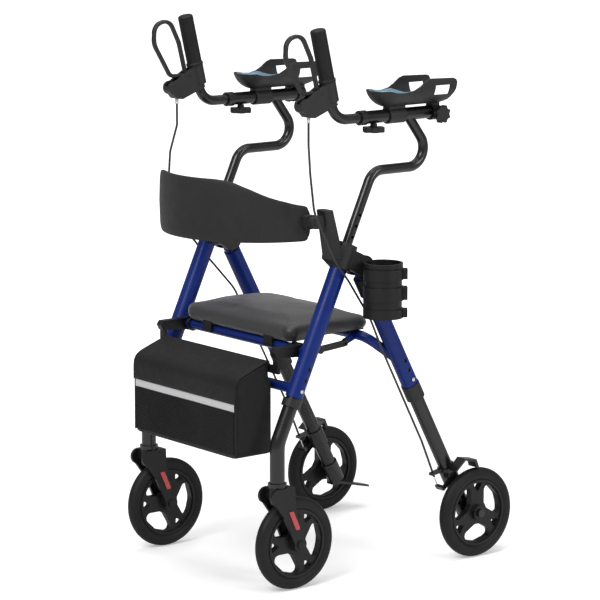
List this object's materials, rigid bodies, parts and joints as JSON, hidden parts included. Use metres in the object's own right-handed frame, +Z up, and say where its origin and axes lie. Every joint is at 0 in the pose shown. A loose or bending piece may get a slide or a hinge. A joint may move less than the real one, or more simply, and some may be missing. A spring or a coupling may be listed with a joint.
{
  "type": "upright rollator walker",
  "caption": "Folding upright walker with forearm trays, loop brakes, padded seat, curved backrest, front bag and cup holder on swivel front and fixed rear wheels.",
  "frame": {"origin": "on the floor, midway between the left and right legs and between the front and rear axles", "axes": "+Z up, -Y forward, +X the walker's left"},
  "size_m": [0.6437, 0.723, 1.2071],
  "materials": {
    "blue_paint": "gloss metallic paint",
    "black_paint": "satin powder coat",
    "black_plastic": "moulded, fine grain",
    "stay_steel": "satin",
    "tyre": "smooth solid tyre",
    "grip_rubber": "ribbed rubber",
    "seat_vinyl": "padded vinyl",
    "backrest_fabric": "padded neoprene",
    "bag_fabric": "ribbed nylon",
    "gel": "gel pad skin",
    "reflector": "reflector",
    "steel": "bright steel",
    "cable_skin": "sheath"
  },
  "bodies": {
    "front_frame": {"front_tubes": "blue_paint", "hub_left": "black_plastic", "hub_right": "black_plastic", "front_collars": "black_plastic", "bag_hangers": "black_plastic", "bag": "bag_fabric", "cable_left": "cable_skin", "cable_right": "cable_skin"},
    "bag_lid": {"bag_lid": "bag_fabric"},
    "rear_frame": {"rear_tubes": "blue_paint", "rear_collars": "black_plastic", "cup_holder": "black_plastic"},
    "seat": {"seat_board": "black_plastic", "seat": "seat_vinyl"},
    "backrest": {"backrest_hinges": "black_plastic", "backrest": "backrest_fabric"},
    "stay_front_left": {"stay_front_left": "stay_steel"},
    "stay_rear_left": {"stay_rear_left": "stay_steel"},
    "front_lower_left": {"front_lower_leg_left": "black_paint"},
    "front_button_left": {"front_button_left": "steel"},
    "caster_left": {"caster_fork_left": "black_plastic", "caster_reflectors_left": "reflector"},
    "caster_wheel_left": {"caster_rim_left": "black_plastic", "caster_tyre_left": "tyre"},
    "rear_lower_left": {"rear_lower_leg_left": "black_paint"},
    "rear_button_left": {"rear_button_left": "steel"},
    "rear_wheel_left": {"rear_rim_left": "black_plastic", "rear_tyre_left": "tyre"},
    "brake_arm_left": {"brake_arm_left": "black_paint"},
    "handle_left": {"handle_post_left": "black_paint"},
    "grip_left": {"grip_tube_left": "black_paint", "grip_left": "grip_rubber", "brake_housing_left": "black_plastic"},
    "brake_lever_left": {"brake_lever_left": "black_plastic"},
    "tray_left": {"tray_left": "black_plastic", "tray_pad_left": "gel"},
    "thumb_knob_left": {"thumb_knob_left": "black_plastic"},
    "star_knob_left": {"star_knob_left": "black_plastic"},
    "stay_front_right": {"stay_front_right": "stay_steel"},
    "stay_rear_right": {"stay_rear_right": "stay_steel"},
    "front_lower_right": {"front_lower_leg_right": "black_paint"},
    "front_button_right": {"front_button_right": "steel"},
    "caster_right": {"caster_fork_right": "black_plastic", "caster_reflectors_right": "reflector"},
    "caster_wheel_right": {"caster_rim_right": "black_plastic", "caster_tyre_right": "tyre"},
    "rear_lower_right": {"rear_lower_leg_right": "black_paint"},
    "rear_button_right": {"rear_button_right": "steel"},
    "rear_wheel_right": {"rear_rim_right": "black_plastic", "rear_tyre_right": "tyre"},
    "brake_arm_right": {"brake_arm_right": "black_paint"},
    "handle_right": {"handle_post_right": "black_paint"},
    "grip_right": {"grip_tube_right": "black_paint", "grip_right": "grip_rubber", "brake_housing_right": "black_plastic"},
    "brake_lever_right": {"brake_lever_right": "black_plastic"},
    "tray_right": {"tray_right": "black_plastic", "tray_pad_right": "gel"},
    "thumb_knob_right": {"thumb_knob_right": "black_plastic"},
    "star_knob_right": {"star_knob_right": "black_plastic"}
  },
  "joints": [
    {"name": "frame_fold", "type": "hinge", "parent": "front_frame", "child": "rear_frame", "pos_m": [0, -0.0671, 0.69], "axis": [-1, 0, 0], "range_deg": [0, 28], "deforming": ["cable_left", "cable_right"]},
    {"name": "seat_flip", "type": "hinge", "parent": "front_frame", "child": "seat", "pos_m": [0, -0.20192, 0.51502], "axis": [1, 0, 0], "range_deg": [0, 75]},
    {"name": "backrest_flip", "type": "hinge", "parent": "front_frame", "child": "backrest", "pos_m": [0, -0.19253, 0.794], "axis": [-1, 0, 0], "range_deg": [0, 100]},
    {"name": "bag_lid_open", "type": "hinge", "parent": "front_frame", "child": "bag_lid", "pos_m": [0, -0.27371, 0.49482], "axis": [-1, 0, 0], "range_deg": [0, 80]},
    {"name": "stay_front_turn_left", "type": "hinge", "parent": "front_frame", "child": "stay_front_left", "pos_m": [0.184, -0.20192, 0.51502], "axis": [-1, 0, 0], "range_deg": [0, 46.66]},
    {"name": "stay_rear_turn_left", "type": "hinge", "parent": "stay_front_left", "child": "stay_rear_left", "pos_m": [0.18, -0.12981, 0.50268], "axis": [1, 0, 0], "range_deg": [0, 117.69]},
    {"name": "front_leg_slide_left", "type": "slide", "parent": "front_frame", "child": "front_lower_left", "axis": [0, 0.4179, 0.9085], "range_m": [0, 0.05], "deforming": ["front_button_left"]},
    {"name": "front_button_press_left", "type": "slide", "parent": "front_lower_left", "child": "front_button_left", "axis": [-1, 0, 0], "range_m": [0, 0.005], "stiffness_N_per_m": 800},
    {"name": "caster_swivel_left", "type": "hinge", "parent": "front_lower_left", "child": "caster_left", "pos_m": [0.236, -0.2895, 0.231], "axis": [0, 0, 1], "continuous": true},
    {"name": "caster_wheel_spin_left", "type": "hinge", "parent": "caster_left", "child": "caster_wheel_left", "pos_m": [0.236, -0.2445, 0.1015], "axis": [1, 0, 0], "continuous": true},
    {"name": "rear_leg_slide_left", "type": "slide", "parent": "rear_frame", "child": "rear_lower_left", "axis": [0, -0.4679, 0.8838], "range_m": [0, 0.05], "deforming": ["rear_button_left", "cable_left"]},
    {"name": "rear_button_press_left", "type": "slide", "parent": "rear_lower_left", "child": "rear_button_left", "axis": [-1, 0, 0], "range_m": [0, 0.005], "stiffness_N_per_m": 800},
    {"name": "rear_wheel_spin_left", "type": "hinge", "parent": "rear_lower_left", "child": "rear_wheel_left", "pos_m": [0.2732, 0.2445, 0.1015], "axis": [1, 0, 0], "continuous": true},
    {"name": "brake_arm_turn_left", "type": "hinge", "parent": "rear_lower_left", "child": "brake_arm_left", "pos_m": [0.258, 0.18877, 0.19164], "axis": [-1, 0, 0], "range_deg": [0, 2.31]},
    {"name": "handle_height_left", "type": "slide", "parent": "front_frame", "child": "handle_left", "axis": [0, 0.4179, 0.9085], "range_m": [-0.075, 0.05], "deforming": ["cable_left"]},
    {"name": "grip_reach_left", "type": "slide", "parent": "handle_left", "child": "grip_left", "axis": [0, -1, 0], "range_m": [-0.015, 0.06], "deforming": ["cable_left"]},
    {"name": "brake_lever_squeeze_left", "type": "hinge", "parent": "grip_left", "child": "brake_lever_left", "pos_m": [0.236, -0.17852, 1.0685], "axis": [-1, 0, 0], "range_deg": [0, 6.5], "stiffness_Nm_per_rad": 6, "springref_deg": -5.73, "deforming": ["cable_left"]},
    {"name": "tray_reach_left", "type": "slide", "parent": "handle_left", "child": "tray_left", "axis": [0, -1, 0], "range_m": [0, 0.025]},
    {"name": "thumb_knob_turn_left", "type": "hinge", "parent": "handle_left", "child": "thumb_knob_left", "pos_m": [0.236, -0.02552, 1.0085], "axis": [0, 0, 1], "range_deg": [0, 540]},
    {"name": "star_knob_turn_left", "type": "hinge", "parent": "tray_left", "child": "star_knob_left", "pos_m": [0.266, 0.14147, 1.0055], "axis": [1, 0, 0], "range_deg": [0, 540]},
    {"name": "stay_front_turn_right", "type": "hinge", "parent": "front_frame", "child": "stay_front_right", "pos_m": [-0.184, -0.20192, 0.51502], "axis": [-1, 0, 0], "range_deg": [0, 46.66]},
    {"name": "stay_rear_turn_right", "type": "hinge", "parent": "stay_front_right", "child": "stay_rear_right", "pos_m": [-0.18, -0.12981, 0.50268], "axis": [1, 0, 0], "range_deg": [0, 117.69]},
    {"name": "front_leg_slide_right", "type": "slide", "parent": "front_frame", "child": "front_lower_right", "axis": [0, 0.4179, 0.9085], "range_m": [0, 0.05], "deforming": ["front_button_right"]},
    {"name": "front_button_press_right", "type": "slide", "parent": "front_lower_right", "child": "front_button_right", "axis": [1, 0, 0], "range_m": [0, 0.005], "stiffness_N_per_m": 800},
    {"name": "caster_swivel_right", "type": "hinge", "parent": "front_lower_right", "child": "caster_right", "pos_m": [-0.236, -0.2895, 0.231], "axis": [0, 0, 1], "continuous": true},
    {"name": "caster_wheel_spin_right", "type": "hinge", "parent": "caster_right", "child": "caster_wheel_right", "pos_m": [-0.236, -0.2445, 0.1015], "axis": [1, 0, 0], "continuous": true},
    {"name": "rear_leg_slide_right", "type": "slide", "parent": "rear_frame", "child": "rear_lower_right", "axis": [0, -0.4679, 0.8838], "range_m": [0, 0.05], "deforming": ["rear_button_right", "cable_right"]},
    {"name": "rear_button_press_right", "type": "slide", "parent": "rear_lower_right", "child": "rear_button_right", "axis": [1, 0, 0], "range_m": [0, 0.005], "stiffness_N_per_m": 800},
    {"name": "rear_wheel_spin_right", "type": "hinge", "parent": "rear_lower_right", "child": "rear_wheel_right", "pos_m": [-0.2732, 0.2445, 0.1015], "axis": [1, 0, 0], "continuous": true},
    {"name": "brake_arm_turn_right", "type": "hinge", "parent": "rear_lower_right", "child": "brake_arm_right", "pos_m": [-0.258, 0.18877, 0.19164], "axis": [-1, 0, 0], "range_deg": [0, 2.31]},
    {"name": "handle_height_right", "type": "slide", "parent": "front_frame", "child": "handle_right", "axis": [0, 0.4179, 0.9085], "range_m": [-0.075, 0.05], "deforming": ["cable_right"]},
    {"name": "grip_reach_right", "type": "slide", "parent": "handle_right", "child": "grip_right", "axis": [0, -1, 0], "range_m": [-0.015, 0.06], "deforming": ["cable_right"]},
    {"name": "brake_lever_squeeze_right", "type": "hinge", "parent": "grip_right", "child": "brake_lever_right", "pos_m": [-0.236, -0.17852, 1.0685], "axis": [-1, 0, 0], "range_deg": [0, 6.5], "stiffness_Nm_per_rad": 6, "springref_deg": -5.73, "deforming": ["cable_right"]},
    {"name": "tray_reach_right", "type": "slide", "parent": "handle_right", "child": "tray_right", "axis": [0, -1, 0], "range_m": [0, 0.025]},
    {"name": "thumb_knob_turn_right", "type": "hinge", "parent": "handle_right", "child": "thumb_knob_right", "pos_m": [-0.236, -0.02552, 1.0085], "axis": [0, 0, 1], "range_deg": [0, 540]},
    {"name": "star_knob_turn_right", "type": "hinge", "parent": "tray_right", "child": "star_knob_right", "pos_m": [-0.266, 0.14147, 1.0055], "axis": [-1, 0, 0], "range_deg": [0, 540]}
  ],
  "couplings": [
    {"joint": "stay_front_turn_left", "follows": "frame_fold", "ratio": 1.6593},
    {"joint": "stay_rear_turn_left", "follows": "frame_fold", "ratio": 4.1962},
    {"joint": "brake_arm_turn_left", "follows": "brake_lever_squeeze_left", "ratio": 0.35385},
    {"joint": "stay_front_turn_right", "follows": "frame_fold", "ratio": 1.6593},
    {"joint": "stay_rear_turn_right", "follows": "frame_fold", "ratio": 4.1962},
    {"joint": "brake_arm_turn_right", "follows": "brake_lever_squeeze_right", "ratio": 0.35385}
  ]
}
